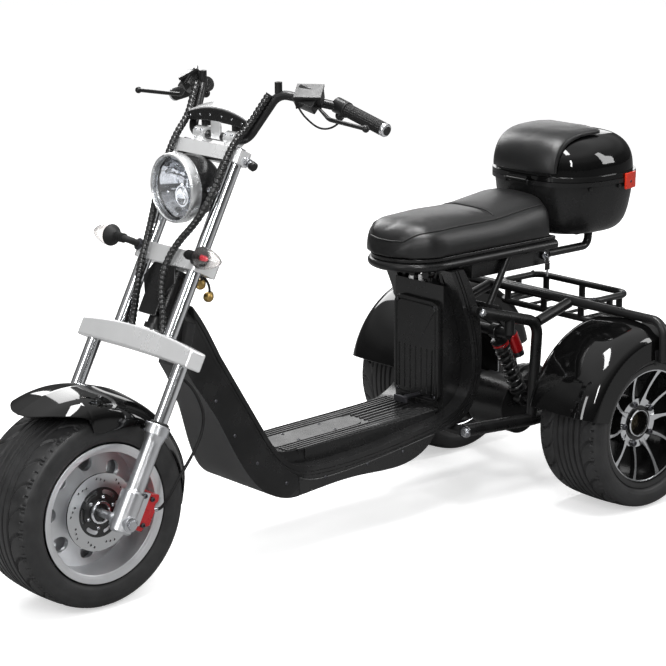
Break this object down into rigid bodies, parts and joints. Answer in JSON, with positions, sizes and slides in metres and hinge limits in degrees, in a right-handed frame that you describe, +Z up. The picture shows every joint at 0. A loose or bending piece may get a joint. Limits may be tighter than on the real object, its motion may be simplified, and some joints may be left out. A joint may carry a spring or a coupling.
{
  "type": "motorized trike",
  "caption": "Three-wheel electric scooter with raked chopper fork, low step-through floor, bench seat, fat tyres, rear carrier and hard top case.",
  "frame": {"origin": "middle of the footprint, on the ground under the tyres", "axes": "+Z up, -Y towards the front wheel, +X towards the rider's left"},
  "size_m": [0.9746, 2.028, 1.187],
  "materials": {
    "chrome_tube": "polished chrome",
    "silver_cast": "bead-blasted cast aluminium",
    "silver_paint": "bright silver paint",
    "black_metal": "satin black powder coat",
    "black_satin_plastic": "satin moulded plastic",
    "black_gloss_plastic": "gloss black",
    "grip_rubber": "textured rubber",
    "tyre_rubber": "road tyre rubber",
    "seat_leather": "black synthetic leather",
    "lamp_glass": "clear",
    "signal_lens": "clear with coloured insert",
    "rim_polished": "machined and clear-coated",
    "rim_black": "black with machined faces",
    "disc_steel": "ground steel",
    "caliper_red": "red anodised look",
    "latch_red": "red",
    "shock_black": "black coil",
    "cable_black": "spiral-wrapped cable loom"
  },
  "bodies": {
    "chassis": {"head_tube": "black_metal", "side_beam_left": "black_satin_plastic", "side_beam_right": "black_satin_plastic", "front_cover": "black_satin_plastic", "belly_skirt": "black_satin_plastic", "floor_board": "black_satin_plastic", "battery_box": "black_satin_plastic", "battery_door": "black_satin_plastic", "parking_pedal": "disc_steel", "seat_rail": "black_metal", "under_seat_box": "black_satin_plastic", "seat_cushion": "seat_leather", "case_rack": "black_metal", "case_shell": "black_satin_plastic", "rear_subframe": "black_metal", "axle_housing": "black_metal", "shocks": "shock_black", "rear_carrier": "black_metal", "rear_fender_left": "black_gloss_plastic", "rear_fender_right": "black_gloss_plastic"},
    "steering": {"fork_tubes": "chrome_tube", "fork_sliders": "silver_cast", "yoke": "silver_paint", "middle_clamp": "silver_paint", "top_clamp": "silver_paint", "handlebar": "black_metal", "grips": "grip_rubber", "brake_controls": "black_metal", "dash": "black_satin_plastic", "headlamp_bucket": "black_gloss_plastic", "headlamp_bezel": "silver_paint", "headlamp_lens": "lamp_glass", "lamp_bracket": "silver_paint", "turn_signals": "signal_lens", "front_fender": "black_gloss_plastic", "brake_caliper": "caliper_red", "cables": "cable_black"},
    "front_wheel": {"front_tyre": "tyre_rubber", "front_rim": "rim_polished", "brake_disc": "disc_steel"},
    "rear_wheel_left": {"rear_tyre_left": "tyre_rubber", "rear_rim_left": "rim_black"},
    "rear_wheel_right": {"rear_tyre_right": "tyre_rubber", "rear_rim_right": "rim_black"},
    "lid": {"case_lid": "black_gloss_plastic", "lid_pad": "seat_leather", "lid_latch": "latch_red"}
  },
  "joints": [
    {"name": "steer", "type": "hinge", "parent": "chassis", "child": "steering", "pos_m": [0, -0.52451, 0.66165], "axis": [0, 0.4617, 0.887], "range_deg": [-35, 35]},
    {"name": "front_wheel_spin", "type": "hinge", "parent": "steering", "child": "front_wheel", "pos_m": [0, -0.782, 0.232], "axis": [1, 0, 0], "continuous": true},
    {"name": "rear_left_spin", "type": "hinge", "parent": "chassis", "child": "rear_wheel_left", "pos_m": [0.35, 0.708, 0.222], "axis": [1, 0, 0], "continuous": true},
    {"name": "rear_right_spin", "type": "hinge", "parent": "chassis", "child": "rear_wheel_right", "pos_m": [-0.35, 0.708, 0.222], "axis": [1, 0, 0], "continuous": true},
    {"name": "lid_open", "type": "hinge", "parent": "chassis", "child": "lid", "pos_m": [0, 0.652, 0.824], "axis": [1, 0, 0], "range_deg": [0, 75]}
  ]
}
